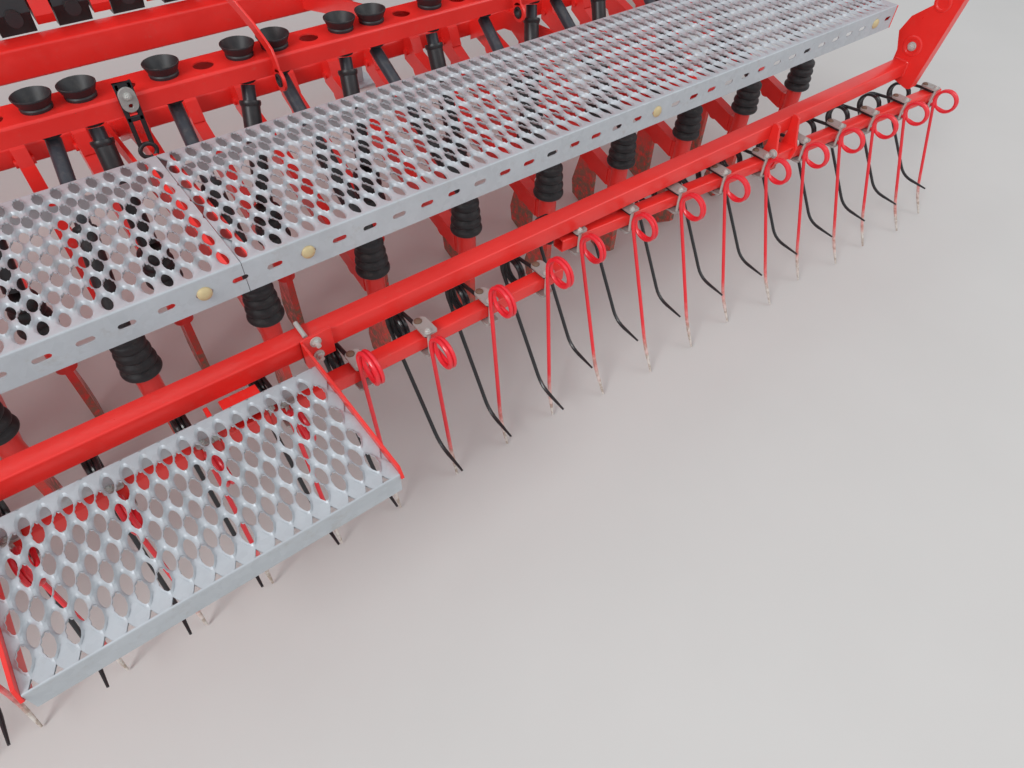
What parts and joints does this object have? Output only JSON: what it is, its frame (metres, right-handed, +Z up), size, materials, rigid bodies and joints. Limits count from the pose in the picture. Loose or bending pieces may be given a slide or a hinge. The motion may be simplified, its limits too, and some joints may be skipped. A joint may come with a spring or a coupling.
{
  "type": "mounted mechanical seed drill",
  "caption": "Mounted box seed drill with hopper, funnel rail, two ranks of coulters on pressed arms, perforated walkway and step, and a hinged tine harrow.",
  "frame": {"origin": "on the ground at the middle of the machine's box", "axes": "+X to the right seen from behind, +Y forward in the direction of travel, +Z up"},
  "size_m": [4.27, 2.121, 1.366],
  "materials": {
    "red_paint": "gloss",
    "galvanised": "galvanised",
    "black_plastic": "matt",
    "grey_tube": "matt",
    "rubber": "matt",
    "tyre": "matt",
    "rim": "satin",
    "black_steel": "satin"
  },
  "bodies": {
    "frame": {"rear_beam": "red_paint", "front_beam": "red_paint", "frame_rails": "red_paint", "headstock": "red_paint", "side_frames": "red_paint", "hopper": "red_paint", "metering_housings": "black_plastic", "metering_gates": "red_paint", "metering_shaft": "galvanised", "gearbox": "black_plastic", "funnel_rail": "red_paint", "rail_posts": "red_paint", "funnels": "rubber", "rail_hooks": "red_paint", "rubber_strap": "rubber", "seed_tubes": "grey_tube", "seed_sleeves": "grey_tube", "coulter_beam": "red_paint", "coulter_arms": "red_paint", "coulter_boots": "red_paint", "bellows": "rubber", "walkway_left": "galvanised", "walkway_right": "galvanised", "walkway_brackets": "red_paint", "wheel_arms": "red_paint", "stand_sleeves": "red_paint"},
    "lid": {"hopper_lid": "red_paint", "lid_handles": "black_plastic"},
    "wheel_left": {"rim_left": "rim", "tyre_left": "tyre"},
    "wheel_right": {"rim_right": "rim", "tyre_right": "tyre"},
    "stand_left": {"stand_left": "galvanised"},
    "stand_right": {"stand_right": "galvanised"},
    "harrow": {"harrow_arms": "red_paint", "harrow_tube": "red_paint", "step_plank": "galvanised", "step_sides": "red_paint", "segment_bars": "red_paint", "segment_brackets": "red_paint", "tine_clamps": "galvanised", "red_tines": "red_paint", "black_tines": "black_steel"}
  },
  "joints": [
    {"name": "lid_hinge", "type": "hinge", "parent": "frame", "child": "lid", "pos_m": [0, 0.8865, 1.312], "axis": [-1, 0, 0], "range_deg": [0, 95]},
    {"name": "wheel_left_turn", "type": "hinge", "parent": "frame", "child": "wheel_left", "pos_m": [-2.06, 0.5305, 0.33], "axis": [1, 0, 0], "continuous": true},
    {"name": "wheel_right_turn", "type": "hinge", "parent": "frame", "child": "wheel_right", "pos_m": [2.06, 0.5305, 0.33], "axis": [1, 0, 0], "continuous": true},
    {"name": "stand_left_slide", "type": "slide", "parent": "frame", "child": "stand_left", "axis": [0, 0, 1], "range_m": [0, 0.45]},
    {"name": "stand_right_slide", "type": "slide", "parent": "frame", "child": "stand_right", "axis": [0, 0, 1], "range_m": [0, 0.45]},
    {"name": "harrow_lift", "type": "hinge", "parent": "frame", "child": "harrow", "pos_m": [0, -0.0095, 0.65], "axis": [-1, 0, 0], "range_deg": [0, 12]}
  ]
}
